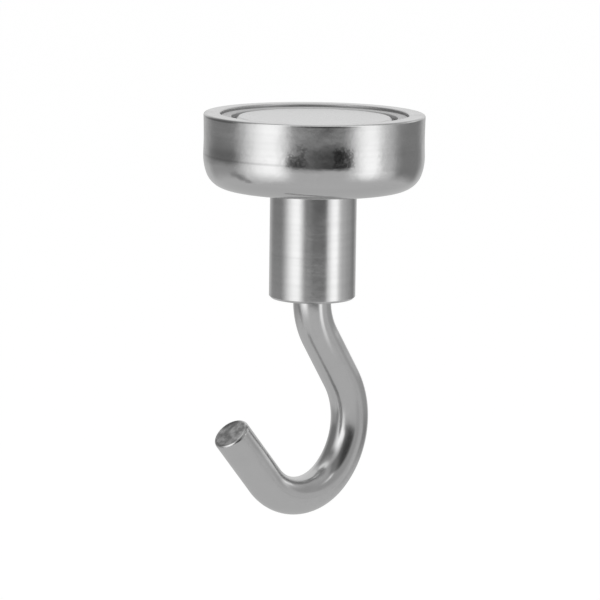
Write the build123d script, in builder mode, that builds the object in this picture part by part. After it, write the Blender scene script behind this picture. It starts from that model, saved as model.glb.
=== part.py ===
from build123d import *
from math import radians, sin, tan
import os

# Magnetic hook: a pot magnet that sticks to steel overhead, with a wire hook screwed into its boss.
# Lengths are millimetres, angles are degrees. The origin is the centre of the rim face that meets
# the steel, +Z points into the steel, and the hook bends in the XZ plane with its mouth on -X.

# Pot: a turned steel cup, open upwards
pot_diameter = 20.0
pot_height = 6.8
pot_wall = 1.5
pot_floor = 2.2
shoulder_radius = 4.7       # the long easy curve that starts the underside
shoulder_angle = 20.0
corner_radius = 2.1         # the tighter curve that ends on the flat underside
rim_edge_break = 0.15       # broken outer edge of the rim
rim_chamfer = 0.12          # chamfer where the rim drops into the cup

# Boss: a turned bush, riveted through the floor of the pot and tapped from below
boss_diameter = 7.85
boss_length = 10.0
boss_chamfer = 0.2
spigot_diameter = 5.0
rivet_head_diameter = 6.4
rivet_angle = 90.0          # full angle of the countersink that the rivet head fills
bore_depth = 8.6
drill_tip_angle = 118.0
mouth_sink = 0.3            # how far the mouth's 45 degree countersink opens the bore

# What fills the cup, from its wall inwards: spacer ring, glue, and the magnet in the space they leave
ring_clearance = 0.02       # radial play of the spacer ring in the cup
ring_width = 0.98
ring_recess = 0.3           # the ring sits this far below the rim
glue_gap = 0.5              # radial gap round the magnet
glue_level = 0.9            # the glue in that gap stops this far below the rim
glue_bed = 0.3
magnet_recess = 0.3         # the magnet sits this far below the rim
magnet_edge_break = 0.2

# Hook: one length of bent wire with a rolled thread on its straight end
wire_diameter = 3.45
thread_diameter = 3.9       # plain cylinder over the rolled thread
thread_length = 7.2
thread_runout = 0.3
thread_chamfer = 0.4
thread_clearance = 0.05     # radial play of the thread in the tapped bore
shank_drop = 0.15           # straight wire below the boss before the first bend
neck_radius = 6.8
neck_angle = 31.8
reach_length = 4.8
side_radius = 7.2
side_angle = 77.8
foot_radius = 5.2
foot_angle = 94.6
lip_length = 6.4
tip_edge_radius = 0.2

# Worked out from the sizes above
pot_radius = pot_diameter / 2
cup_radius = pot_radius - pot_wall
cup_depth = pot_height - pot_floor
shoulder_sine = sin(radians(shoulder_angle))
curve_height = shoulder_radius * shoulder_sine + corner_radius * (1 - shoulder_sine)
boss_radius = boss_diameter / 2
boss_top = -pot_height
boss_end = boss_top - boss_length
spigot_radius = spigot_diameter / 2
rivet_head_radius = rivet_head_diameter / 2
rivet_head_height = (rivet_head_radius - spigot_radius) / tan(radians(rivet_angle / 2))
ring_radius = cup_radius - ring_clearance
ring_bore_radius = ring_radius - ring_width
magnet_radius = ring_bore_radius - glue_gap
magnet_thickness = cup_depth - magnet_recess - glue_bed
wire_radius = wire_diameter / 2
thread_radius = thread_diameter / 2
bore_radius = thread_radius + thread_clearance
bore_top = boss_end + bore_depth
drill_tip_height = bore_radius / tan(radians(drill_tip_angle / 2))
thread_end = boss_end + mouth_sink + thread_runout
thread_top = thread_end + thread_length
bend_start = boss_end - shank_drop

# Pot: its outline is turned about Z, then the cup and the rivet hole are cut
with BuildPart() as pot:
    with BuildSketch(Plane.XZ):
        with BuildLine():
            rim = Line((0, 0), (pot_radius, 0))
            wall = Line((pot_radius, 0), (pot_radius, curve_height - pot_height))
            shoulder = JernArc(wall @ 1, wall % 1, shoulder_radius, -shoulder_angle)
            corner = JernArc(shoulder @ 1, shoulder % 1, corner_radius, shoulder_angle - 90)
            underside = Line(corner @ 1, (0, -pot_height))
            Line(underside @ 1, rim @ 0)
        make_face()
    revolve(axis=Axis.Z)
    with BuildSketch(Plane.XY):
        Circle(cup_radius)
    extrude(amount=-cup_depth, mode=Mode.SUBTRACT)
    with Locations((0, 0, -cup_depth)):
        CounterSinkHole(spigot_radius, rivet_head_radius, depth=pot_floor, counter_sink_angle=rivet_angle)
    rim_edges = pot.edges().filter_by(GeomType.CIRCLE).group_by(Axis.Z)[-1].sort_by(SortBy.RADIUS)
    chamfer(rim_edges[0], rim_chamfer)
    chamfer(rim_edges[-1], rim_edge_break)
pot.part.label = "pot"

# Boss: the bush below the pot, its spigot through the floor and the rivet head that holds it
with BuildPart() as threaded_boss:
    with BuildSketch(Plane.XZ):
        with BuildLine():
            Polyline(
                (0, -cup_depth),
                (rivet_head_radius, -cup_depth),
                (spigot_radius, -cup_depth - rivet_head_height),
                (spigot_radius, boss_top),
                (boss_radius, boss_top),
                (boss_radius, boss_end),
                (0, boss_end),
                close=True,
            )
        make_face()
    revolve(axis=Axis.Z)
    chamfer(threaded_boss.edges().group_by(Axis.Z)[0], boss_chamfer)
    with BuildSketch(Plane.XZ):
        with BuildLine():
            Polyline(
                (0, bore_top + drill_tip_height),
                (bore_radius, bore_top),
                (bore_radius, boss_end + mouth_sink),
                (bore_radius + mouth_sink, boss_end),
                (0, boss_end),
                close=True,
            )
        make_face()
    revolve(axis=Axis.Z, mode=Mode.SUBTRACT)
threaded_boss.part.label = "threaded_boss"

# Magnet: a plated disc, just below the rim so that the rim meets the steel first
with BuildPart() as magnet:
    with BuildSketch(Plane.XY.offset(-magnet_recess)):
        Circle(magnet_radius)
    extrude(amount=-magnet_thickness)
    chamfer(magnet.edges().filter_by(GeomType.CIRCLE), magnet_edge_break)
magnet.part.label = "magnet"

# Spacer ring: centres the magnet in the cup and keeps it away from the wall's steel
with BuildPart() as spacer_ring:
    with BuildSketch(Plane.XY.offset(-cup_depth)):
        Circle(ring_radius)
        Circle(ring_bore_radius, mode=Mode.SUBTRACT)
    extrude(amount=cup_depth - ring_recess)
spacer_ring.part.label = "spacer_ring"

# Adhesive: a bed under the magnet and the thin sleeve that it squeezes up round the edge
with BuildPart() as magnet_adhesive:
    with BuildSketch(Plane.XY.offset(-cup_depth)):
        Circle(ring_bore_radius)
    extrude(amount=cup_depth - glue_level)
    add(magnet.part, mode=Mode.SUBTRACT)
magnet_adhesive.part.label = "magnet_adhesive"

# Hook: the wire is swept along its centre line, then the threaded end is added round it
with BuildPart() as hook:
    with BuildLine(Plane.XZ):
        shank = Line((0, thread_top), (0, bend_start))
        neck = JernArc(shank @ 1, shank % 1, neck_radius, neck_angle)
        reach = Line(neck @ 1, neck @ 1 + (neck % 1) * reach_length)
        side = JernArc(reach @ 1, reach % 1, side_radius, -side_angle)
        foot = JernArc(side @ 1, side % 1, foot_radius, -foot_angle)
        Line(foot @ 1, foot @ 1 + (foot % 1) * lip_length)
    with BuildSketch(Plane(shank @ 0, z_dir=shank % 0)):
        Circle(wire_radius)
    sweep()
    tip_face = hook.faces().filter_by(GeomType.PLANE).sort_by(Axis.Z)[0]
    fillet(tip_face.edges(), tip_edge_radius)
    with BuildSketch(Plane.XZ):
        with BuildLine():
            Polyline(
                (0, thread_top),
                (thread_radius - thread_chamfer, thread_top),
                (thread_radius, thread_top - thread_chamfer),
                (thread_radius, thread_end),
                (wire_radius, thread_end - thread_runout),
                (0, thread_end - thread_runout),
                close=True,
            )
        make_face()
    revolve(axis=Axis.Z)
hook.part.label = "hook"

os.makedirs("parts", exist_ok=True)
for piece in (pot, threaded_boss, magnet, spacer_ring, magnet_adhesive, hook):
    export_step(piece.part, f"parts/{piece.part.label}.step")
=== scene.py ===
from math import ceil, copysign, cos, degrees, pi, radians, sin, tan

import bpy
from mathutils import Matrix, Vector


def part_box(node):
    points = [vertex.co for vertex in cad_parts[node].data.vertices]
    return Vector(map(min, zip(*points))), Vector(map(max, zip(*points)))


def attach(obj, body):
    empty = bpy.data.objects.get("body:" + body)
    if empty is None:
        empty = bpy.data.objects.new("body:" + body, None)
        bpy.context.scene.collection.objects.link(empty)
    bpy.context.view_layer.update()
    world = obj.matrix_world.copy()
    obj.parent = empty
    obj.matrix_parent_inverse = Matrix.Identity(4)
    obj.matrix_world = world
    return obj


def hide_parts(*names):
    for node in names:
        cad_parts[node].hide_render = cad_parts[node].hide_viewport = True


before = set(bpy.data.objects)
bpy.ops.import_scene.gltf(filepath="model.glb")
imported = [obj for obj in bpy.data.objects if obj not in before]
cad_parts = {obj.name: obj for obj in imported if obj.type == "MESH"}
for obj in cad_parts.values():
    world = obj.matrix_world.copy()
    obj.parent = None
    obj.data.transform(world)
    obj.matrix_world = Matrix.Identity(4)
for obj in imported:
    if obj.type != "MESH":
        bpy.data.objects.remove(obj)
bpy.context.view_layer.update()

# A magnetic hook: a nickel-plated pot magnet that faces up, a bush riveted under it and a bent wire
# hook screwed into the bush. Sizes in the dictionaries are millimetres and degrees.
mm = 0.001
scene = bpy.context.scene
scene.view_settings.view_transform = "Standard"


def linearColour(hexText):
    # sRGB hex to the linear colour that shaders take
    parts = [int(hexText[i:i + 2], 16) / 255 for i in (1, 3, 5)]
    return [c / 12.92 if c <= 0.04045 else ((c + 0.055) / 1.055) ** 2.4 for c in parts] + [1.0]


def addObject(name, data):
    thing = bpy.data.objects.new(name, data)
    scene.collection.objects.link(thing)
    return thing


def addNode(tree, kind, inputs=None, **settings):
    # adds a node with its settings; an input is a plain value, a hex colour, the socket that feeds it
    # or a node, whose first output in use feeds it
    node = tree.nodes.new(kind)
    for name, value in settings.items():
        setattr(node, name, value)
    for name, value in (inputs or {}).items():
        if isinstance(value, str) and value.startswith("#"):
            value = linearColour(value)
        if isinstance(value, bpy.types.Node):
            value = next(socket for socket in value.outputs if socket.enabled)
        if isinstance(value, bpy.types.NodeSocket):
            tree.links.new(value, node.inputs[name])
        else:
            node.inputs[name].default_value = value
    return node


def makeMaterial(name, build, v):
    # a node material; build adds its nodes from the values and returns the node of its surface
    material = bpy.data.materials.new(name)
    material.use_nodes = True
    tree = material.node_tree
    tree.nodes.clear()
    addNode(tree, "ShaderNodeOutputMaterial", {"Surface": build(tree, v)})
    return material


# Settings that many nodes share: a ramp that starts and ends softly, and a mix of two colours
eased = {"interpolation_type": "SMOOTHSTEP"}
ofColours = {"data_type": "RGBA"}

# Camera: where the photograph was taken from, found from the ellipses of the rim and the boss
photoCamera = {
    "distance": 290.0,       # from the pot's axis, level
    "height": 30.96,         # above the rim
    "round": -38.96,         # turn about the pot's axis, from looking along +Y
    "pitch": 9.402,          # looking down
    "yaw": 0.215,
    "roll": 0.768,
    "lens": 194.13,
    "sensor": 36.0,
    "nearest": 10.0,
    "farthest": 20000.0,
}


def makeCamera(v):
    camera = addObject("photoCamera", bpy.data.cameras.new("photoCamera"))
    turn = Matrix.Rotation(radians(v["round"]), 4, "Z")
    place = turn @ Matrix.Translation(Vector((0, -v["distance"], v["height"])) * mm)
    pitch = Matrix.Rotation(radians(90 - v["pitch"]), 4, "X")
    aim = Matrix.Rotation(radians(v["yaw"]), 4, "Z") @ pitch
    camera.matrix_world = place @ aim @ Matrix.Rotation(radians(v["roll"]), 4, "Z")
    camera.data.lens = v["lens"]
    camera.data.sensor_width = v["sensor"]
    camera.data.clip_start = v["nearest"] * mm
    camera.data.clip_end = v["farthest"] * mm
    scene.camera = camera


makeCamera(photoCamera)
print("camera placed")


# Outlines: a turned piece is drawn as half of its section, (radius, height), with rounded corners
def roundedOutline(corners, spacing=0.25, stepAngle=9.0, hold=0.02, fewestSteps=3, tiny=1e-6):
    # corners are (radius, height, rounding) and may end with their own spacing for the run that arrives
    spots = [Vector(corner[:2]) for corner in corners]
    roundings = [corner[2] if len(corner) > 2 else 0.0 for corner in corners]
    spacings = [corner[3] if len(corner) > 3 else spacing for corner in corners]
    points = [spots[0]]
    for i in range(1, len(spots)):
        here = spots[i]
        back = (spots[i - 1] - here).normalized()
        arc = [here]
        if roundings[i] > 0:
            ahead = (spots[i + 1] - here).normalized()
            turn = pi - back.angle(ahead)
            reach = roundings[i] * tan(turn / 2)
            centre = here + (back + ahead).normalized() * roundings[i] / cos(turn / 2)
            start = here + back * reach - centre
            side = 1 if start.angle_signed(here + ahead * reach - centre) < 0 else -1
            steps = max(fewestSteps, ceil(degrees(turn) / stepAngle))
            arc = [centre + Matrix.Rotation(side * turn * k / steps, 2) @ start for k in range(steps + 1)]
        # the run up to this corner, with a row held close to each end so that flats shade flat
        run = (arc[0] - points[-1]).length
        if run > 4 * hold:
            along = (arc[0] - points[-1]) / run
            begin = points[-1] + along * hold
            count = max(1, ceil((run - 2 * hold) / spacings[i]))
            step = along * (run - 2 * hold) / count
            points += [begin + step * k for k in range(count + 1)]
        points += arc if run > tiny else arc[1:]
    return points


def newTree(name, inputs, result):
    # a Geometry Nodes tree with named inputs and one output; returns the tree and its input sockets
    tree = bpy.data.node_groups.new(name, "GeometryNodeTree")
    for title, kind in inputs:
        tree.interface.new_socket(title, in_out="INPUT", socket_type="NodeSocket" + kind)
    tree.interface.new_socket(result[0], in_out="OUTPUT", socket_type="NodeSocket" + result[1])
    return tree, tree.nodes.new("NodeGroupInput").outputs


# Where a thread's crest ends and its root begins, as shares of a pitch from the middle of the crest
threadFlanks = (0.08, 0.42)


def threadTree():
    # how deep a thread is cut at a distance along its axis and a turn about it: 0 on crests, 1 in roots
    tree, given = newTree("threadForm", [
        ("Distance", "Float"), ("Turn", "Float"), ("Pitch", "Float"), ("From", "Float"), ("To", "Float"),
    ], ("Cut", "Float"))
    turns = addNode(tree, "ShaderNodeMath", {0: given["Distance"], 1: given["Pitch"]}, operation="DIVIDE")
    phase = addNode(tree, "ShaderNodeMath", {0: turns, 1: given["Turn"]}, operation="SUBTRACT")
    wave = addNode(tree, "ShaderNodeMath", {0: phase, 1: 0.5}, operation="PINGPONG")
    cut = addNode(tree, "ShaderNodeMapRange", {
        "Value": wave, "From Min": threadFlanks[0], "From Max": threadFlanks[1],
    }, **eased)
    # the first and the last turn run out
    for end, inwards in (("From", "ADD"), ("To", "SUBTRACT")):
        full = addNode(tree, "ShaderNodeMath", {0: given[end], 1: given["Pitch"]}, operation=inwards)
        runOut = addNode(tree, "ShaderNodeMapRange", {
            "Value": given["Distance"], "From Min": given[end], "From Max": full,
        }, **eased)
        cut = addNode(tree, "ShaderNodeMath", {0: cut, 1: runOut}, operation="MULTIPLY")
    addNode(tree, "NodeGroupOutput", {"Cut": cut})
    return tree


threadForm = threadTree()
pieceInputs = [
    ("Geometry", "Geometry"), ("Sides", "Int"), ("Waviness", "Float"), ("Material", "Material"),
    ("Thread pitch", "Float"), ("Thread depth", "Float"), ("Thread from", "Float"), ("Thread to", "Float"),
]
pieceResult = ("Geometry", "Geometry")
seamGap = 1e-6               # points nearer than this, in metres, are one
swellScale = 260.0           # slight unevenness of every piece, about one swell in 4 mm
tearScale = 1900.0           # of the torn wire end, about one tear in 0.5 mm


def cutThread(tree, given, distance, turn):
    return addNode(tree, "GeometryNodeGroup", {
        "Distance": distance, "Turn": turn, "Pitch": given["Thread pitch"], "From": given["Thread from"],
        "To": given["Thread to"],
    }, node_tree=threadForm)


def gridOfOutline(tree, given):
    # a flat grid with a column for each side and a row for each point of the outline, which it reads
    size = addNode(tree, "GeometryNodeAttributeDomainSize", {"Geometry": given["Geometry"]})
    rows = size.outputs["Point Count"]
    columns = addNode(tree, "ShaderNodeMath", {0: given["Sides"], 1: 1.0}, operation="ADD")
    grid = addNode(tree, "GeometryNodeMeshGrid", {
        "Size X": 1.0, "Size Y": 1.0, "Vertices X": rows, "Vertices Y": columns,
    })
    share = addNode(tree, "ShaderNodeSeparateXYZ", {0: grid.outputs["UV Map"]})
    last = addNode(tree, "ShaderNodeMath", {0: rows, 1: 1.0}, operation="SUBTRACT")
    row = addNode(tree, "ShaderNodeMath", {0: share.outputs["X"], 1: last}, operation="MULTIPLY")
    index = addNode(tree, "FunctionNodeFloatToInt", {0: row}, rounding_mode="ROUND")
    spot = addNode(tree, "GeometryNodeSampleIndex", {
        "Geometry": given["Geometry"], "Value": addNode(tree, "GeometryNodeInputPosition"), "Index": index,
    }, data_type="FLOAT_VECTOR", domain="POINT")
    section = addNode(tree, "ShaderNodeSeparateXYZ", {0: spot})
    outwards = addNode(tree, "GeometryNodeFlipFaces", {"Mesh": grid})
    return outwards, section.outputs["X"], section.outputs["Z"], share.outputs["Y"]


def closeAndDress(tree, given, shape, attribute, mesh):
    # keeps the given coordinates for the materials, joins the seam and the poles and dresses the mesh
    kept = addNode(tree, "GeometryNodeStoreNamedAttribute", {
        "Geometry": mesh, "Name": attribute, "Value": shape,
    }, data_type="FLOAT_VECTOR", domain="POINT")
    whole = addNode(tree, "GeometryNodeMergeByDistance", {"Geometry": kept, "Distance": seamGap})
    unevenness = addNode(tree, "ShaderNodeTexNoise", {
        "Vector": addNode(tree, "GeometryNodeInputPosition"), "Scale": swellScale, "Detail": 1.0,
    })
    depth = addNode(tree, "ShaderNodeMath", {0: unevenness, 1: given["Waviness"]}, operation="MULTIPLY")
    inwards = addNode(tree, "ShaderNodeVectorMath", {
        0: addNode(tree, "GeometryNodeInputNormal"), "Scale": depth,
    }, operation="SCALE")
    sunk = addNode(tree, "ShaderNodeVectorMath", {0: inwards, "Scale": -1.0}, operation="SCALE")
    worked = addNode(tree, "GeometryNodeSetPosition", {"Geometry": whole, "Offset": sunk})
    smooth = addNode(tree, "GeometryNodeSetShadeSmooth", {0: worked})
    solid = addNode(tree, "GeometryNodeRealizeInstances", {0: smooth})
    return addNode(tree, "GeometryNodeSetMaterial", {"Geometry": solid, "Material": given["Material"]})


def turnedTree():
    # turns an outline about Z, as a lathe does, and cuts a thread where the section is a bore
    tree, given = newTree("turnedPiece", pieceInputs + [("Bore radius", "Float")], pieceResult)
    mesh, radius, height, turn = gridOfOutline(tree, given)
    cut = cutThread(tree, given, height, turn)
    inBore = addNode(tree, "ShaderNodeMath", {0: radius, 1: given["Bore radius"]}, operation="LESS_THAN")
    share = addNode(tree, "ShaderNodeMath", {0: cut, 1: inBore}, operation="MULTIPLY")
    cutRadius = addNode(tree, "ShaderNodeMath", {0: share, 1: given["Thread depth"], 2: radius},
                        operation="MULTIPLY_ADD")
    ray = addNode(tree, "ShaderNodeCombineXYZ", {"X": cutRadius, "Z": height})
    angle = addNode(tree, "ShaderNodeMath", {0: turn, 1: 2 * pi}, operation="MULTIPLY")
    place = addNode(tree, "ShaderNodeVectorRotate", {"Vector": ray, "Angle": angle}, rotation_type="Z_AXIS")
    turned = addNode(tree, "GeometryNodeSetPosition", {"Geometry": mesh, "Position": place})
    section = addNode(tree, "ShaderNodeCombineXYZ", {"X": radius, "Y": turn, "Z": height})
    result = closeAndDress(tree, given, section, "section", turned)
    addNode(tree, "NodeGroupOutput", {"Geometry": result})
    return tree


def bentWireTree():
    # turns an outline about a bent centre line: the outline is (radius, distance along the line)
    tree, given = newTree("bentWire", pieceInputs + [
        ("Centre line", "Object"), ("End face from", "Float"), ("Tear depth", "Float"),
        ("End material", "Material"),
    ], pieceResult)
    mesh, radius, distance, turn = gridOfOutline(tree, given)
    cut = cutThread(tree, given, distance, turn)
    depth = addNode(tree, "ShaderNodeMath", {0: cut, 1: given["Thread depth"]}, operation="MULTIPLY")
    cutRadius = addNode(tree, "ShaderNodeMath", {0: radius, 1: depth}, operation="SUBTRACT")
    angle = addNode(tree, "ShaderNodeMath", {0: turn, 1: 2 * pi}, operation="MULTIPLY")
    ray = addNode(tree, "ShaderNodeCombineXYZ", {"X": cutRadius})
    ringSpot = addNode(tree, "ShaderNodeVectorRotate", {"Vector": ray, "Angle": angle},
                       rotation_type="Z_AXIS")
    flat = addNode(tree, "ShaderNodeSeparateXYZ", {0: ringSpot})
    line = addNode(tree, "GeometryNodeObjectInfo", {"Object": given["Centre line"]})
    onLine = addNode(tree, "GeometryNodeSampleCurve", {
        "Curves": line.outputs["Geometry"], "Length": distance,
    }, mode="LENGTH")
    # the line lies in the XZ plane, so Y is square to it everywhere
    across = addNode(tree, "ShaderNodeVectorMath", {0: (0.0, 1.0, 0.0), 1: onLine.outputs["Tangent"]},
                     operation="CROSS_PRODUCT")
    part = addNode(tree, "ShaderNodeVectorMath", {0: across, "Scale": flat.outputs["X"]}, operation="SCALE")
    rest = addNode(tree, "ShaderNodeCombineXYZ", {"Y": flat.outputs["Y"]})
    ring = addNode(tree, "ShaderNodeVectorMath", {0: part, 1: rest}, operation="ADD")
    place = addNode(tree, "ShaderNodeVectorMath", {0: onLine.outputs["Position"], 1: ring}, operation="ADD")
    bent = addNode(tree, "GeometryNodeSetPosition", {"Geometry": mesh, "Position": place})
    # the sheared end is torn a little below square
    atEnd = addNode(tree, "FunctionNodeCompare", {0: distance, 1: given["End face from"]},
                    data_type="FLOAT", operation="GREATER_THAN")
    grain = addNode(tree, "ShaderNodeTexNoise", {
        "Vector": place, "Scale": tearScale, "Detail": 3.0, "Roughness": 0.6,
    })
    tear = addNode(tree, "ShaderNodeMath", {0: grain, 1: given["Tear depth"]}, operation="MULTIPLY")
    pull = addNode(tree, "ShaderNodeMath", {0: tear, 1: -1.0}, operation="MULTIPLY")
    back = addNode(tree, "ShaderNodeVectorMath", {0: onLine.outputs["Tangent"], "Scale": pull},
                   operation="SCALE")
    torn = addNode(tree, "GeometryNodeSetPosition", {"Geometry": bent, "Selection": atEnd, "Offset": back})
    unbent = addNode(tree, "ShaderNodeCombineXYZ", {
        "X": flat.outputs["X"], "Y": flat.outputs["Y"], "Z": distance,
    })
    result = closeAndDress(tree, given, unbent, "unbent", torn)
    spot = addNode(tree, "GeometryNodeInputNamedAttribute", {"Name": "unbent"}, data_type="FLOAT_VECTOR")
    run = addNode(tree, "ShaderNodeSeparateXYZ", {0: spot})
    onEnd = addNode(tree, "FunctionNodeCompare", {0: run.outputs["Z"], 1: given["End face from"]},
                    data_type="FLOAT", operation="GREATER_THAN")
    dressed = addNode(tree, "GeometryNodeSetMaterial", {
        "Geometry": result, "Selection": onEnd, "Material": given["End material"],
    })
    addNode(tree, "NodeGroupOutput", {"Geometry": dressed})
    return tree


turnedPiece = turnedTree()
bentWire = bentWireTree()


def makePiece(name, node, body, tree, outline, v, material, more=None):
    # draws the outline, runs the tree on it and puts the plain mesh in the place of the CAD node
    values = {"Sides": v["sides"], "Waviness": v["waviness"] * mm, "Material": material, **(more or {})}
    mesh = bpy.data.meshes.new(name)
    edges = [(i, i + 1) for i in range(len(outline) - 1)]
    mesh.from_pydata([(p.x * mm, 0.0, p.y * mm) for p in outline], edges, [])
    piece = addObject(name, mesh)
    modifier = piece.modifiers.new("Shape", "NODES")
    modifier.node_group = tree
    for socket in tree.interface.items_tree:
        if socket.in_out == "INPUT" and socket.name in values:
            modifier[socket.identifier] = values[socket.name]
    depsgraph = bpy.context.evaluated_depsgraph_get()
    shape = bpy.data.meshes.new_from_object(piece.evaluated_get(depsgraph), preserve_all_data_layers=True,
                                            depsgraph=depsgraph)
    piece.modifiers.remove(modifier)
    piece.data = shape
    shape.name = name
    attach(piece, body)
    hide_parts(node)
    print(name, "made:", len(shape.polygons), "faces")


# Pot: the turned steel cup that faces up
potLow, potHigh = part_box("pot")
potSizes = {
    "radius": potHigh.x / mm,
    "height": -potLow.z / mm,
    "wall": 1.5,
    "floor": 2.2,
    "cupCornerRound": 0.1,
    "shoulderRadius": 4.7,
    "shoulderAngle": 20.0,
    "cornerRadius": 2.1,
    "rimRound": 0.2,
    "spigotRadius": 2.5,
    "rivetHeadRadius": 3.2,
    "hollow": 0.05,          # how far the wall sinks between its ends
    "hollowHeight": -2.1,
    "hollowRound": 25.0,
    "hiddenRows": 0.5,       # spacing of the mesh rows where nothing shows
    "floorRows": 0.8,
    "stepAngle": 5.0,        # of the mesh round its curves
    "sides": 256,
    "waviness": 0.002,
}
cupRadius = potSizes["radius"] - potSizes["wall"]
cupFloor = potSizes["floor"] - potSizes["height"]
rivetDepth = potSizes["rivetHeadRadius"] - potSizes["spigotRadius"]


# Bright nickel on turned steel: a mirror-like plating that follows the rings the tool left, with
# patches of orange peel where the plating is thick; rings and peel are drawn coarser than the real
# 0.1 mm ones so that they show
def nickelOnTurnedSteel(tree, v):
    section = addNode(tree, "ShaderNodeAttribute", attribute_name="section").outputs["Vector"]
    place = addNode(tree, "ShaderNodeTexCoord").outputs["Object"]
    # the tool's rings run round the piece, so the noise reads radius and height and hardly the turn
    rings = addNode(tree, "ShaderNodeVectorMath", {0: section, 1: (1.0, v["ringDrift"] * mm, 1.0)},
                    operation="MULTIPLY")
    ringNoise = addNode(tree, "ShaderNodeTexNoise", {
        "Vector": rings, "Scale": 1 / (v["ringWidth"] * mm), "Detail": 2.0,
    })
    peel = addNode(tree, "ShaderNodeTexNoise", {
        "Vector": place, "Scale": 1 / (v["peelWidth"] * mm), "Detail": 2.0, "Roughness": 0.6,
    })
    cloud = addNode(tree, "ShaderNodeTexNoise", {
        "Vector": place, "Scale": 1 / (v["cloudWidth"] * mm), "Detail": 3.0,
    })
    thick = addNode(tree, "ShaderNodeMapRange", {
        "Value": cloud, "From Min": v["peelClouds"][0], "From Max": v["peelClouds"][1],
        "To Min": v["thinPeel"], "To Max": v["thickPeel"],
    }, **eased)
    split = addNode(tree, "ShaderNodeSeparateXYZ", {0: section}).outputs
    radius, turn, height = split["X"], split["Y"], split["Z"]
    low = addNode(tree, "ShaderNodeMapRange", {
        "Value": height, "From Min": v["peelTop"] * mm, "From Max": v["peelFull"] * mm,
        "To Min": v["rimPeel"],
    }, **eased)
    onWall = addNode(tree, "ShaderNodeMapRange", {
        "Value": height, "From Min": v["peelEnd"] * mm, "From Max": v["peelFade"] * mm,
    }, **eased)
    peelShare = addNode(tree, "ShaderNodeMath", {0: thick, 1: low}, operation="MULTIPLY")
    # the noises make the blots' borders and tops ragged
    ragged = addNode(tree, "ShaderNodeMath", {0: peel, 1: cloud}, operation="ADD")
    sunk = addNode(tree, "ShaderNodeMath", {0: ragged, 1: v["blotRagged"] * mm, 2: height},
                   operation="MULTIPLY_ADD")
    for side, halfWidth, top in v["blots"]:
        fromBlot = addNode(tree, "ShaderNodeMath", {0: turn, 1: side}, operation="SUBTRACT")
        offBlot = addNode(tree, "ShaderNodeMath", {0: fromBlot}, operation="ABSOLUTE")
        border = addNode(tree, "ShaderNodeMath", {0: ragged, 1: halfWidth, 2: offBlot},
                         operation="MULTIPLY_ADD")
        near = addNode(tree, "ShaderNodeMapRange", {
            "Value": border, "From Min": halfWidth * v["blotStart"], "From Max": halfWidth * v["blotFull"],
        }, **eased)
        below = addNode(tree, "ShaderNodeMapRange", {
            "Value": sunk, "From Min": (top + v["blotRagged"]) * mm,
            "From Max": (top + v["blotRagged"] - v["blotFade"]) * mm,
        }, **eased)
        blot = addNode(tree, "ShaderNodeMath", {0: near, 1: below}, operation="MULTIPLY")
        peelShare = addNode(tree, "ShaderNodeMath", {0: peelShare, 1: blot}, operation="MAXIMUM")
    peelHere = addNode(tree, "ShaderNodeMath", {0: peelShare, 1: onWall}, operation="MULTIPLY")
    peelDepth = addNode(tree, "ShaderNodeMath", {0: peelHere, 1: v["peelHeight"] * mm}, operation="MULTIPLY")
    # about its mean, so that the edge of a blot makes no step
    peelWave = addNode(tree, "ShaderNodeMath", {0: peel, 1: 0.5}, operation="SUBTRACT")
    peelRelief = addNode(tree, "ShaderNodeMath", {0: peelWave, 1: peelDepth}, operation="MULTIPLY")
    surface = peelRelief
    for noise, depth in ((ringNoise, v["ringHeight"]), (cloud, v["dentHeight"])):
        surface = addNode(tree, "ShaderNodeMath", {0: noise, 1: depth * mm, 2: surface},
                          operation="MULTIPLY_ADD")
    relief = addNode(tree, "ShaderNodeBump", {"Height": surface, "Distance": 1.0})
    tone = addNode(tree, "ShaderNodeMapRange", {
        "Value": cloud, "From Min": v["toneClouds"][0], "From Max": v["toneClouds"][1],
        "To Min": v["roughness"] * v["smoothest"], "To Max": v["roughness"] * v["dullest"],
    })
    tint = addNode(tree, "ShaderNodeMix", {
        "Factor": ringNoise, "A": v["shades"][0], "B": v["shades"][1],
    }, **ofColours)
    # darkening in the pits of the roughest patches: dirt there, and in the blots that face the camera a
    # painted dark reflection
    pits = addNode(tree, "ShaderNodeMapRange", {
        "Value": peel, "From Min": v["pits"][0], "From Max": v["pits"][1],
        "To Min": v["dirtAndReflection"] * v["cleanestPit"], "To Max": v["dirtAndReflection"],
    }, **eased)
    rough = addNode(tree, "ShaderNodeMapRange", {"Value": peelHere, "From Min": v["dirtAndReflectionFrom"]}, **eased)
    darkPits = addNode(tree, "ShaderNodeMath", {0: pits, 1: rough}, operation="MULTIPLY")
    lined = addNode(tree, "ShaderNodeMix", {"Factor": darkPits, "A": tint, "B": v["dirtAndReflectionShade"]}, **ofColours)
    # painted shade and reflections: dark lines on the rim's edge, a dark band on the wall and the tool's
    # dark line, each painted on one side of the piece only, where those places mirror dark surroundings
    for at, width, shade, side, spread in v["paintedLines"]:
        fromLine = addNode(tree, "ShaderNodeMath", {0: height, 1: at * mm}, operation="SUBTRACT")
        offLine = addNode(tree, "ShaderNodeMath", {0: fromLine}, operation="ABSOLUTE")
        onLine = addNode(tree, "ShaderNodeMapRange", {
            "Value": offLine, "From Min": width * mm, "From Max": 0.0, "To Max": shade,
        }, **eased)
        fromSide = addNode(tree, "ShaderNodeMath", {0: turn, 1: side}, operation="SUBTRACT")
        sideAngle = addNode(tree, "ShaderNodeMath", {0: fromSide, 1: 2 * pi}, operation="MULTIPLY")
        towards = addNode(tree, "ShaderNodeMath", {0: sideAngle}, operation="COSINE")
        onPaintedSide = addNode(tree, "ShaderNodeMapRange", {
            "Value": towards, "From Min": cos(radians(spread)),
            "From Max": cos(radians(spread * v["paintedLineFull"])),
        }, **eased)
        lineHere = addNode(tree, "ShaderNodeMath", {0: onLine, 1: onPaintedSide}, operation="MULTIPLY")
        lined = addNode(tree, "ShaderNodeMix", {
            "Factor": lineHere, "A": lined, "B": v["paintedLineShade"],
        }, **ofColours)
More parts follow.
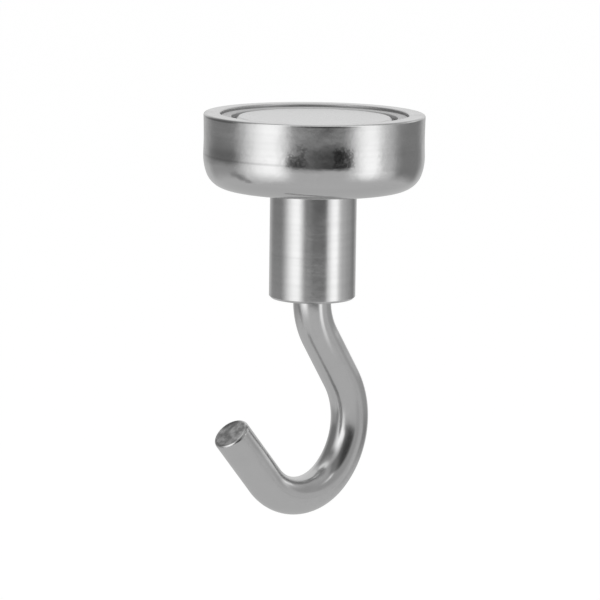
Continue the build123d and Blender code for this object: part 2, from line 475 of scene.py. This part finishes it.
    # painted shade: the inside wall of a cup is drawn a darker grey, and rougher
    inside = addNode(tree, "ShaderNodeMapRange", {
        "Value": radius, "From Min": (v["cupRadius"] + v["cupEdge"][0]) * mm,
        "From Max": (v["cupRadius"] + v["cupEdge"][1]) * mm,
    }, **eased)
    aboveFloor = addNode(tree, "ShaderNodeMapRange", {
        "Value": height, "From Min": (v["cupFloor"] - v["cupFloorEdge"]) * mm,
        "From Max": v["cupFloor"] * mm,
    }, **eased)
    inCup = addNode(tree, "ShaderNodeMath", {0: inside, 1: aboveFloor}, operation="MULTIPLY")
    colour = addNode(tree, "ShaderNodeMix", {"Factor": inCup, "A": lined, "B": v["cupPaintedShade"]}, **ofColours)
    # handling has dulled the plating near the rim, so it is smoother below
    haze = addNode(tree, "ShaderNodeMath", {0: low, 1: -v["haze"], 2: tone}, operation="MULTIPLY_ADD")
    sheen = addNode(tree, "ShaderNodeMix", {"Factor": inCup, "A": haze, "B": v["cupRoughness"]})
    return addNode(tree, "ShaderNodeBsdfPrincipled", {
        "Base Color": colour, "Metallic": 1.0, "Roughness": sheen, "Normal": relief,
    })


# What both turned pieces have. thinPeel, thickPeel and rimPeel are shares of peelHeight, cleanestPit
# is one of the pits' darkening, a painted line's full spread one of its spread, and smoothest and
# dullest are of roughness; the cup's grey is painted shade
turnedFinish = {
    "ringWidth": 0.5, "ringDrift": 0.8, "shades": ("#c6c6c6", "#d3d3d3"),
    "thinPeel": 0.1, "thickPeel": 0.5, "rimPeel": 0.04, "smoothest": 0.8, "dullest": 1.3,
    "peelClouds": (0.45, 0.65), "toneClouds": (0.3, 0.7), "pits": (0.32, 0.62), "dirtAndReflectionFrom": 0.4,
    "blotRagged": 3.0, "blotFade": 1.5, "blotStart": 2.5, "blotFull": 1.5,
    "dirtAndReflectionShade": "#747474", "cleanestPit": 0.4, "paintedLineShade": "#7c7c7c", "paintedLineFull": 0.55,
    "cupPaintedShade": "#a8a8a8", "cupRoughness": 0.5, "cupEdge": (0.04, 0.01), "cupFloorEdge": 0.1,
}
potFinish = {
    **turnedFinish, "ringHeight": 0.003, "peelWidth": 0.34, "peelHeight": 0.012,
    "peelTop": -1.6, "peelFull": -3.0, "peelFade": -3.6, "peelEnd": -4.0, "cloudWidth": 1.8,
    "dentHeight": 0.03, "roughness": 0.2, "haze": 0.08, "dirtAndReflection": 0.9,
    # painted dark lines and a band: height, half width, shade, side as a share of a turn from +X, and how
    # many degrees it spreads
    "paintedLines": (
        (-3.62, 0.18, 0.3, 0.43, 84.0),
        (-0.22, 0.14, 0.75, 0.474, 20.0),
        (-0.2, 0.1, 0.4, 0.657, 20.0),
        (-3.2, 0.9, 0.4, 0.487, 17.0),
    ),
    # blots of peel, darkened there as a painted dark reflection: side and half width as shares of a turn,
    # and the height of its top
    "blots": ((0.618, 0.016, -1.1), (0.683, 0.017, -1.2)),
    "cupRadius": cupRadius, "cupFloor": cupFloor,
}
bushFinish = {
    **turnedFinish, "ringHeight": 0.002, "peelWidth": 0.5, "peelHeight": 0.006,
    "peelTop": -7.0, "peelFull": -8.0, "peelFade": -17.0, "peelEnd": -18.0, "cloudWidth": 2.0,
    "dentHeight": 0.01, "roughness": 0.15, "haze": 0.0, "dirtAndReflection": 0.0,
    # the tool's line, painted faintly dark on one side
    "paintedLines": ((-12.7, 0.12, 0.06, 0.43, 84.0),), "blots": (),
    "cupRadius": 0.0, "cupFloor": 0.0,
}


def makePot(v):
    shoulder = radians(v["shoulderAngle"])
    # the shoulder and the corner meet tangent, so both are roundings of one bent line
    shoulderReach = v["shoulderRadius"] * tan(shoulder / 2)
    cornerReach = v["cornerRadius"] * tan((pi / 2 - shoulder) / 2)
    slope = shoulderReach + cornerReach
    knee = -v["height"] + slope * cos(shoulder)
    foot = v["radius"] - slope * sin(shoulder)
    outline = roundedOutline([
        (cupRadius, cupFloor / 2),
        (cupRadius, cupFloor, v["cupCornerRound"], v["hiddenRows"]),
        (v["rivetHeadRadius"], cupFloor, 0, v["floorRows"]),
        (v["spigotRadius"], cupFloor - rivetDepth, 0, v["hiddenRows"]),
        (v["spigotRadius"], -v["height"], 0, v["hiddenRows"]),
        (foot, -v["height"], v["cornerRadius"]),
        (v["radius"], knee, v["shoulderRadius"]),
        (v["radius"], knee + shoulderReach, 0),
        (v["radius"] - v["hollow"], v["hollowHeight"], v["hollowRound"]),
        (v["radius"], 0, v["rimRound"]),
        (cupRadius, 0, v["rimRound"]),
        (cupRadius, cupFloor / 2),
    ], stepAngle=v["stepAngle"])
    nickel = makeMaterial("nickelOnTurnedPot", nickelOnTurnedSteel, potFinish)
    makePiece("potBody", "pot", "holder", turnedPiece, outline, v, nickel)


makePot(potSizes)

# Boss: the bush riveted into the pot and tapped for the hook
bossLow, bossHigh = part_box("threaded_boss")
bossSizes = {
    "radius": bossHigh.x / mm,
    "top": -potSizes["height"],
    "end": bossLow.z / mm,
    "chamfer": 0.2,
    "edgeRound": 0.05,
    "boreRadius": 2.0,
    "boreDepth": 8.6,
    "mouthSink": 0.3,
    "tipAngle": 118.0,
    "pitch": 0.7,
    "threadDepth": 0.28,
    "rowsPerPitch": 10,
    "hiddenRows": 0.5,
    "sides": 160,
    "waviness": 0.001,
}


def makeBoss(v):
    boreTop = v["end"] + v["boreDepth"]
    tip = boreTop + v["boreRadius"] / tan(radians(v["tipAngle"] / 2))
    spigot, head = potSizes["spigotRadius"], potSizes["rivetHeadRadius"]
    outline = roundedOutline([
        (0, tip),
        (v["boreRadius"], boreTop, 0, v["hiddenRows"]),
        (v["boreRadius"], v["end"] + v["mouthSink"], 0, v["pitch"] / v["rowsPerPitch"]),
        (v["boreRadius"] + v["mouthSink"], v["end"], v["edgeRound"]),
        (v["radius"] - v["chamfer"], v["end"], v["edgeRound"]),
        (v["radius"], v["end"] + v["chamfer"], v["edgeRound"]),
        (v["radius"], v["top"], 0),
        (spigot, v["top"], 0, v["hiddenRows"]),
        (spigot, cupFloor - rivetDepth, 0, v["hiddenRows"]),
        (head, cupFloor, 0, v["hiddenRows"]),
        (0, cupFloor, 0, v["hiddenRows"]),
    ])
    nickel = makeMaterial("nickelOnTurnedBush", nickelOnTurnedSteel, bushFinish)
    makePiece("bushBody", "threaded_boss", "holder", turnedPiece, outline, v, nickel, {
        "Thread pitch": v["pitch"] * mm, "Thread depth": v["threadDepth"] * mm,
        "Thread from": (v["end"] + v["mouthSink"]) * mm, "Thread to": boreTop * mm,
        "Bore radius": (v["boreRadius"] + v["mouthSink"] / 2) * mm,
    })


makeBoss(bossSizes)

# What fills the cup: the magnet disc, the spacer ring round it and the adhesive between them
magnetLow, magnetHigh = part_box("magnet")
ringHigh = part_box("spacer_ring")[1]
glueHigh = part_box("magnet_adhesive")[1]
fillSizes = {
    "magnetRadius": magnetHigh.x / mm,
    "magnetTop": magnetHigh.z / mm,
    "magnetBase": magnetLow.z / mm,
    "magnetEdge": 0.2,
    "magnetRound": 0.08,
    "ringRadius": ringHigh.x / mm,
    "ringBore": glueHigh.x / mm,
    "ringTop": ringHigh.z / mm,
    "ringTopRound": 0.1,
    "ringFootRound": 0.05,
    "glueTop": glueHigh.z / mm,
    "meniscus": 0.14,        # how far the glue sags between the magnet and the ring
    "flatRows": 0.6,         # spacing of the mesh rows on flats and where nothing shows
    "glueRows": 0.4,
    "sides": 224,
    "waviness": 0.004,
    "glueWaviness": 0.03,
}


# Satin nickel on the ground face of a sintered magnet: flat, slightly grainy, blurs what it mirrors
def satinNickelOnMagnet(tree, v):
    place = addNode(tree, "ShaderNodeTexCoord").outputs["Object"]
    grain = addNode(tree, "ShaderNodeTexNoise", {
        "Vector": place, "Scale": 1 / (v["grainWidth"] * mm), "Detail": 3.0,
    })
    tone = addNode(tree, "ShaderNodeMapRange", {
        "Value": grain, "To Min": v["roughness"][0], "To Max": v["roughness"][1],
    })
    relief = addNode(tree, "ShaderNodeBump", {"Height": grain, "Distance": v["grainHeight"] * mm})
    return addNode(tree, "ShaderNodeBsdfPrincipled", {
        "Base Color": v["shade"], "Metallic": 1.0, "Roughness": tone, "Normal": relief,
    })


magnetFinish = {"grainWidth": 0.25, "grainHeight": 0.002, "roughness": (0.24, 0.34), "shade": "#dedede"}


# A plastic with a cloudy grey: moulded nylon has a soft sheen, and cured epoxy is dark, glossy where
# it set smooth, with dust and small pits
def cloudyPlastic(tree, v):
    place = addNode(tree, "ShaderNodeTexCoord").outputs["Object"]
    cloud = addNode(tree, "ShaderNodeTexNoise", {
        "Vector": place, "Scale": 1 / (v["cloudWidth"] * mm), "Detail": v["detail"],
    })
    tint = addNode(tree, "ShaderNodeMix", {
        "Factor": cloud, "A": v["shades"][0], "B": v["shades"][1],
    }, **ofColours)
    relief = addNode(tree, "ShaderNodeBump", {"Height": cloud, "Distance": v["relief"] * mm})
    return addNode(tree, "ShaderNodeBsdfPrincipled", {
        "Base Color": tint, "Roughness": v["roughness"], "IOR": v["ior"], "Normal": relief,
    })


nylonFinish = {
    "cloudWidth": 1.5, "detail": 4.0, "relief": 0.01, "shades": ("#b4b4b4", "#c8c8c8"),
    "roughness": 0.42, "ior": 1.53,
}
epoxyFinish = {
    "cloudWidth": 0.4, "detail": 3.0, "relief": 0.02, "shades": ("#2a2a2a", "#4c4c4c"),
    "roughness": 0.35, "ior": 1.55,
}


def makeCupFill(v):
    low, high, rounding = v["magnetBase"], v["magnetTop"], v["magnetRound"]
    magnet = roundedOutline([
        (0, low),
        (v["magnetRadius"] - v["magnetEdge"], low, rounding, v["flatRows"]),
        (v["magnetRadius"], low + v["magnetEdge"], rounding),
        (v["magnetRadius"], high - v["magnetEdge"], rounding),
        (v["magnetRadius"] - v["magnetEdge"], high, rounding),
        (0, high),
    ])
    satin = makeMaterial("satinNickelOnMagnet", satinNickelOnMagnet, magnetFinish)
    makePiece("magnetDisc", "magnet", "holder", turnedPiece, magnet, v, satin)
    ringMiddle = (v["ringTop"] + cupFloor) / 2
    ring = roundedOutline([
        (v["ringBore"], ringMiddle),
        (v["ringBore"], cupFloor, v["ringFootRound"], v["flatRows"]),
        (v["ringRadius"], cupFloor, v["ringFootRound"]),
        (v["ringRadius"], v["ringTop"], v["ringTopRound"], v["flatRows"]),
        (v["ringBore"], v["ringTop"], v["ringTopRound"]),
        (v["ringBore"], ringMiddle, 0, v["flatRows"]),
    ])
    nylon = makeMaterial("mouldedNylon", cloudyPlastic, nylonFinish)
    makePiece("spacerRing", "spacer_ring", "holder", turnedPiece, ring, v, nylon)
    gapMiddle = (v["ringBore"] + v["magnetRadius"]) / 2
    glue = roundedOutline([
        (0, cupFloor),
        (v["ringBore"], cupFloor, 0, v["flatRows"]),
        (v["ringBore"], v["glueTop"], 0, v["glueRows"]),
        (gapMiddle, v["glueTop"] - v["meniscus"], v["meniscus"]),
        (v["magnetRadius"], v["glueTop"], 0),
        (v["magnetRadius"], low, 0, v["glueRows"]),
        (0, low, 0, v["flatRows"]),
    ])
    epoxy = makeMaterial("curedEpoxy", cloudyPlastic, epoxyFinish)
    makePiece("adhesiveFill", "magnet_adhesive", "holder", turnedPiece, glue, v, epoxy, {
        "Waviness": v["glueWaviness"] * mm,
    })


makeCupFill(fillSizes)


# Bright nickel on drawn and bent wire: fine die lines run along it, over shallow dents from bending
def nickelOnDrawnWire(tree, v):
    unbent = addNode(tree, "ShaderNodeAttribute", attribute_name="unbent").outputs["Vector"]
    place = addNode(tree, "ShaderNodeTexCoord").outputs["Object"]
    lengthwise = addNode(tree, "ShaderNodeVectorMath", {0: unbent, 1: (1.0, 1.0, v["lineStretch"])},
                         operation="MULTIPLY")
    lines = addNode(tree, "ShaderNodeTexNoise", {
        "Vector": lengthwise, "Scale": 1 / (v["lineWidth"] * mm), "Detail": 2.0,
    })
    cloud = addNode(tree, "ShaderNodeTexNoise", {
        "Vector": place, "Scale": 1 / (v["cloudWidth"] * mm), "Detail": 3.0,
    })
    tone = addNode(tree, "ShaderNodeMapRange", {
        "Value": cloud, "To Min": v["roughness"][0], "To Max": v["roughness"][1],
    })
    tint = addNode(tree, "ShaderNodeMix", {
        "Factor": cloud, "A": v["shades"][0], "B": v["shades"][1],
    }, **ofColours)
    dents = addNode(tree, "ShaderNodeTexNoise", {
        "Vector": place, "Scale": 1 / (v["dentWidth"] * mm), "Detail": 0.0,
    })
    surface = addNode(tree, "ShaderNodeMath", {0: dents, 1: v["dentsToLines"], 2: lines},
                      operation="MULTIPLY_ADD")
    relief = addNode(tree, "ShaderNodeBump", {"Height": surface, "Distance": v["lineHeight"] * mm})
    return addNode(tree, "ShaderNodeBsdfPrincipled", {
        "Base Color": tint, "Metallic": 1.0, "Roughness": tone, "Normal": relief,
    })


# Sheared wire end: torn steel under thin nickel, dull and mottled
def nickelOnShearedEnd(tree, v):
    unbent = addNode(tree, "ShaderNodeAttribute", attribute_name="unbent").outputs["Vector"]
    grain = addNode(tree, "ShaderNodeTexNoise", {
        "Vector": unbent, "Scale": 1 / (v["grainWidth"] * mm), "Detail": 3.0,
    })
    patchy = addNode(tree, "ShaderNodeMapRange", {
        "Value": grain, "From Min": v["patches"][0], "From Max": v["patches"][1],
    })
    tint = addNode(tree, "ShaderNodeMix", {
        "Factor": patchy, "A": v["shades"][0], "B": v["shades"][1],
    }, **ofColours)
    # painted shade: the end is drawn darker along one side of its edge
    offside = addNode(tree, "ShaderNodeVectorMath", {0: unbent, 1: v["paintedEdgeSide"]}, operation="DOT_PRODUCT")
    paintedEdge = addNode(tree, "ShaderNodeMapRange", {
        "Value": offside, "From Min": v["paintedEdge"][0] * mm, "From Max": v["paintedEdge"][1] * mm,
    }, **eased)
    colour = addNode(tree, "ShaderNodeMix", {
        "Factor": paintedEdge, "A": tint, "B": v["paintedEdgeShade"],
    }, **ofColours)
    relief = addNode(tree, "ShaderNodeBump", {"Height": grain, "Distance": v["grainHeight"] * mm})
    return addNode(tree, "ShaderNodeBsdfPrincipled", {
        "Base Color": colour, "Metallic": 1.0, "Roughness": v["roughness"], "Normal": relief,
    })


wireFinish = {
    "lineWidth": 0.3, "lineHeight": 0.0008, "lineStretch": 0.03, "cloudWidth": 2.5,
    "dentWidth": 3.2, "dentsToLines": 240.0,     # how much deeper the dents are than the lines
    "roughness": (0.14, 0.23), "shades": ("#c9c9c9", "#d2d2d2"),
}
shearedFinish = {
    "grainWidth": 0.6, "grainHeight": 0.025, "patches": (0.36, 0.64), "shades": ("#8e8e8e", "#cccccc"),
    # the side, the reach and the grey of painted shade along one side of the end's edge
    "paintedEdgeSide": (0.71, 0.71, 0.0), "paintedEdge": (0.95, 1.4), "paintedEdgeShade": "#6c6c6c", "roughness": 0.4,
}

# Hook: one length of wire with a rolled thread, bent in the XZ plane
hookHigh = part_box("hook")[1]
hookSizes = {
    "wireRadius": 1.725,
    "threadRadius": hookHigh.y / mm,
    "threadTop": hookHigh.z / mm,
    "threadLength": 7.2,
    "threadRunout": 0.3,
    "threadChamfer": 0.4,
    "threadDepth": 0.43,
    "pitch": 0.7,
    # the centre line down from the thread: (length) of a run, (radius, angle) of a bend, + towards +X
    "centreLine": [(7.95,), (6.8, 31.8), (4.8,), (7.2, -77.8), (5.2, -94.6), (6.32,)],
    "curveSteps": 64,
    "tipRound": 0.32,
    "tearDepth": 0.03,
    "tearFrom": 0.1,         # the tear starts in this last share of the tip's rounding
    "rowsPerPitch": 12,
    "runoutRows": 0.05,
    "wireRows": 0.12,
    "tipRows": 0.08,
    "sides": 160,
    "waviness": 0.003,
}


def makeCentreLine(v):
    # a Bezier line with one segment for each run or bend; returns the curve's object and its length
    place, heading, length = Vector((0, v["threadTop"])), Vector((0, -1)), 0
    anchors = [[place, place, place]]
    for leg in v["centreLine"]:
        if len(leg) == 1:
            end, ahead, pull = place + heading * leg[0], heading, leg[0] / 3
            length += leg[0]
        else:
            radius, angle = leg[0], radians(leg[1])
            centre = place + Matrix.Rotation(copysign(pi / 2, angle), 2) @ heading * radius
            end = centre + Matrix.Rotation(angle, 2) @ (place - centre)
            ahead = Matrix.Rotation(angle, 2) @ heading
            pull = abs(tan(angle / 4)) * radius * 4 / 3
            length += abs(angle) * radius
        anchors[-1][2] = place + heading * pull
        anchors.append([end - ahead * pull, end, end])
        place, heading = end, ahead
    data = bpy.data.curves.new("hookCentreLine", "CURVE")
    data.dimensions = "3D"
    data.resolution_u = v["curveSteps"]
    spline = data.splines.new("BEZIER")
    spline.bezier_points.add(len(anchors) - 1)
    for point, (left, middle, right) in zip(spline.bezier_points, anchors):
        point.handle_left = (left.x * mm, 0, left.y * mm)
        point.co = (middle.x * mm, 0, middle.y * mm)
        point.handle_right = (right.x * mm, 0, right.y * mm)
    return addObject("hookCentreLine", data), length


def makeHook(v):
    line, length = makeCentreLine(v)
    threadRows = v["pitch"] / v["rowsPerPitch"]
    runout = v["threadLength"] + v["threadRunout"]
    outline = roundedOutline([
        (0, 0),
        (v["threadRadius"] - v["threadChamfer"], 0),
        (v["threadRadius"], v["threadChamfer"], 0, threadRows),
        (v["threadRadius"], v["threadLength"], 0, threadRows),
        (v["wireRadius"], runout, 0, v["runoutRows"]),
        (v["wireRadius"], length, v["tipRound"], v["wireRows"]),
        (0, length, 0, v["tipRows"]),
    ])
    nickel = makeMaterial("nickelOnDrawnWire", nickelOnDrawnWire, wireFinish)
    makePiece("bentHook", "hook", "hook", bentWire, outline, v, nickel, {
        "Thread pitch": v["pitch"] * mm, "Thread depth": v["threadDepth"] * mm,
        "Thread from": 0.0, "Thread to": runout * mm,
        "Centre line": line, "End face from": (length - v["tipRound"] * v["tearFrom"]) * mm,
        "Tear depth": v["tearDepth"] * mm,
        "End material": makeMaterial("nickelOnShearedEnd", nickelOnShearedEnd, shearedFinish),
    })
    bpy.data.objects.remove(line)


makeHook(hookSizes)

# Studio: a pale floor far below, soft light from above, and shells that only gloss mirrors. The tent
# is grey with a dark front, a dark flag at each side and a pale panel behind. The left box is a soft
# light close to the object, and the right box is turned towards the pot and the bush only. Azimuth
# is 0 at the camera and grows to its right.
studio = {
    "floorDrop": 300.0,
    "floorSize": 8000.0,
    "floorPaint": "#f4f4f4",
    "floorGlow": 1.3,
    "floorGlowShare": 0.6,   # of what the camera and mirrors see; the rest takes the shadow
    "middle": -10.0,         # height of the shells' middle
    "shellDrop": 280.0,      # how far below the middle the tent reaches
    "step": 5,               # of the shells' mesh, in degrees
    "sky": "#ffffff",
    "ambient": 0.6,          # the world's level on surfaces that scatter light
    "lampPower": 2.0,
    "lampSize": 500.0,
    "lampPlace": (-350.0, -500.0, 600.0),
}
# Each shell: its radius, the azimuths and elevations that it spans, the grey between its patches
# (a shell without one lets light through there) and the pieces it lights, where those aren't all.
# Each patch: its brightness, then across and upwards the angles between which it fades in and out.
shells = {
    "tent": {
        "radius": 500.0,
        "span": (-145, 215, -90, 90),
        "grey": 0.6,
        "patches": {
            "top": (0.5, (-200, -199, 250, 251), (10, 45, 100, 101)),
            "rearPanel": (0.83, (140, 162, 260, 261), (-4, 6, 60, 85)),
            "rearLeftPanel": (0.85, (-200, -199, -140, -120), (-4, 6, 40, 65)),
            "leftShade": (0.4, (-150, -130, -70, -50), (-30, -14, -9, -7)),
            "leftFlag": (0.23, (-166, -120, -60, -40), (-12, -6, 30, 60)),
            "leftFlagEdge": (0.17, (194, 240, 250, 251), (-12, -6, 30, 60)),
            "rightWall": (0.42, (34, 46, 96, 112), (-17, -12, 40, 60)),
            "rightFlag": (0.26, (87, 106, 134, 160), (-30, -16, -2, 5)),
            "rightStrip": (1.1, (112, 118, 130, 140), (4, 9, 18, 26)),
            "darkFront": (0.19, (-44, -30, 36, 42), (-13, -9, 0, 6)),
            "frontSpill": (0.45, (-60, -50, -12, 4), (-16, -12, -8.7, -7.7)),
            "darkFrontHigh": (0.16, (-24, -10, 30, 42), (-2, 6, 45, 60)),
            "cameraStand": (0.06, (-14, 12, 27, 41), (-9, -4, 14, 34)),
        },
    },
    "leftBox": {
        "radius": 90.0,
        "upright": True,     # straight up and down, like the front of a soft box
        "hides": True,       # its patches hide what is behind them
        "span": (-100, 0, -50, 35),
        "patches": {
            "cloth": (1.5, (-93, -45, -40, -16), (-38, -9, 10, 26)),
            "armTop": (0.32, (-100, -94, -88, -82), (-24, -20, -17, -13)),
            "arm": (0.25, (-93, -87, -81, -75), (-30, -26, -22, -17)),
            "armEnd": (0.3, (-86, -80, -76, -70), (-36, -32, -28, -22)),
        },
    },
    "rightBox": {
        "radius": 480.0,
        "span": (-90, 115, -40, 90),
        "lights": ("potBody", "bushBody", "magnetDisc", "spacerRing", "adhesiveFill"),
        "patches": {
            "rightSpill": (0.45, (44, 56, 70, 100), (-36, -12, 84, 92)),
            "rightBox": (1.08, (29, 60, 64, 78), (-38, -7, 84, 92)),
            "leftTop": (1.1, (-80, -64, -34, -28), (10, 20, 84, 92)),
            "overhead": (0.4, (-88, -70, 90, 112), (46, 56, 100, 101)),
        },
    },
    "bushFill": {
        "radius": 460.0,
        "span": (80, 145, -40, 40),
        "lights": ("bushBody",),
        "patches": {
            "side": (0.2, (86, 98, 104, 140), (-36, -20, 20, 40)),
        },
    },
    "wireCards": {
        "radius": 470.0,
        "span": (-145, 165, -45, 85),
        "lights": ("bentHook",),
        "patches": {
            "fill": (0.16, (60, 70, 120, 160), (-18, -9, 8, 16)),
            "ceiling": (0.5, (-140, -115, -50, -20), (50, 58, 70, 80)),
            "boxGlow": (1.0, (-54, -42, -28, -14), (-4, 3, 12, 18)),
            "frontLift": (0.1, (-20, 0, 30, 45), (22, 34, 50, 60)),
        },
    },
    "shankCard": {
        "radius": 20.0,
        "span": (30, 75, -60, -15),
        "lights": ("bentHook",),
        "patches": {
            "card": (0.95, (38, 47, 54, 64), (-58, -28, -24, -20)),
        },
    },
}


def patchGlow(tree, shell):
    # the light of a shell's patches, clear between them unless the shell has a grey
    bearing = addNode(tree, "ShaderNodeAttribute", attribute_name="bearing").outputs["Vector"]
    angles = addNode(tree, "ShaderNodeSeparateXYZ", {0: bearing})
    glow, clear = shell.get("grey", 0.0), 1.0
    for brightness, across, upright in shell["patches"].values():
        mask = 1.0
        for axis, spans in (("X", across), ("Y", upright)):
            for start, full in (spans[:2], spans[:1:-1]):
                fade = addNode(tree, "ShaderNodeMapRange", {
                    "Value": angles.outputs[axis], "From Min": start, "From Max": full,
                }, **eased)
                mask = addNode(tree, "ShaderNodeMath", {0: fade, 1: mask}, operation="MULTIPLY")
        glow = addNode(tree, "ShaderNodeMix", {"Factor": mask, "A": glow, "B": brightness})
        clear = addNode(tree, "ShaderNodeMix", {"Factor": mask, "A": clear, "B": 0.0})
    light = addNode(tree, "ShaderNodeEmission", {"Strength": glow})
    if "grey" in shell:
        return light
    veil = addNode(tree, "ShaderNodeBsdfTransparent", {"Color": clear} if shell.get("hides") else None)
    return addNode(tree, "ShaderNodeAddShader", {0: light, 1: veil})


def makeShell(v, name, shell):
    # a piece of a round shell about the object, lit in patches
    spots, bearings, faces = [], [], []
    left, right, bottom, top = shell["span"]
    columns, rows = (right - left) // v["step"], (top - bottom) // v["step"]
    for i in range(columns + 1):
        for j in range(rows + 1):
            azimuth, elevation = left + i * v["step"], bottom + j * v["step"]
            heading = radians(photoCamera["round"] - 90 + azimuth)
            tilt = radians(elevation)
            level = Vector((cos(heading), sin(heading), 0)) * cos(tilt)
            ray = level + Vector((0, 0, sin(tilt)))
            reach = shell["radius"] / (cos(tilt) if shell.get("upright") else 1)
            if ray.z < 0:
                reach = min(reach, v["shellDrop"] / -ray.z)
            spots.append((ray * reach + Vector((0, 0, v["middle"]))) * mm)
            bearings += [azimuth, elevation, 0]
            if i < columns and j < rows:
                corner = i * (rows + 1) + j
                faces.append((corner, corner + rows + 1, corner + rows + 2, corner + 1))
    mesh = bpy.data.meshes.new(name)
    mesh.from_pydata(spots, [], faces)
    mesh.attributes.new("bearing", "FLOAT_VECTOR", "POINT").data.foreach_set("vector", bearings)
    mesh.materials.append(makeMaterial(name, patchGlow, shell))
    mesh.materials[0].cycles.emission_sampling = "NONE"
    screen = addObject(name, mesh)
    screen.visible_camera = screen.visible_diffuse = screen.visible_shadow = False
    if "lights" in shell:
        lit = bpy.data.collections.new(name + "Lights")
        for piece in shell["lights"]:
            lit.objects.link(bpy.data.objects[piece])
        screen.light_linking.receiver_collection = lit


def seenDirectly(tree):
    # 1 for the camera and for what mirrors and glass show, 0 for light on the object
    ray = addNode(tree, "ShaderNodeLightPath")
    seen = addNode(tree, "ShaderNodeMath", {
        0: ray.outputs["Is Camera Ray"], 1: ray.outputs["Is Glossy Ray"],
    }, operation="ADD")
    return addNode(tree, "ShaderNodeMath", {0: seen, 1: ray.outputs["Is Transmission Ray"]},
                   operation="ADD", use_clamp=True)


def paleFloor(tree, v):
    # white to the camera and in mirrors, and it keeps the object's shadow
    paint = addNode(tree, "ShaderNodeBsdfDiffuse", {"Color": v["floorPaint"]})
    white = addNode(tree, "ShaderNodeEmission", {"Strength": v["floorGlow"]})
    share = addNode(tree, "ShaderNodeMath", {0: seenDirectly(tree), 1: v["floorGlowShare"]},
                    operation="MULTIPLY")
    return addNode(tree, "ShaderNodeMixShader", {0: share, 1: paint, 2: white})


def makeFloor(v):
    half, level = v["floorSize"] / 2 * mm, -v["floorDrop"] * mm
    corners = [(x * half, y * half, level) for x, y in ((-1, -1), (1, -1), (1, 1), (-1, 1))]
    mesh = bpy.data.meshes.new("floor")
    mesh.from_pydata(corners, [], [(0, 1, 2, 3)])
    mesh.materials.append(makeMaterial("paleFloor", paleFloor, v))
    floor = addObject("floor", mesh)


def makeLight(v):
    world = bpy.data.worlds.new("studio")
    scene.world = world
    world.use_nodes = True
    tree = world.node_tree
    tree.nodes.clear()
    level = addNode(tree, "ShaderNodeMix", {"Factor": seenDirectly(tree), "A": v["ambient"], "B": 1.0})
    sky = addNode(tree, "ShaderNodeBackground", {"Color": v["sky"], "Strength": level})
    addNode(tree, "ShaderNodeOutputWorld", {"Surface": sky})
    data = bpy.data.lights.new("softLamp", "AREA")
    data.size = v["lampSize"] * mm
    data.energy = v["lampPower"]
    lamp = addObject("softLamp", data)
    lamp.location = Vector(v["lampPlace"]) * mm
    lamp.rotation_euler = lamp.location.to_track_quat("Z", "Y").to_euler()
    lamp.visible_glossy = False


for name, shell in shells.items():
    makeShell(studio, name, shell)
makeFloor(studio)
makeLight(studio)
print("studio lit")
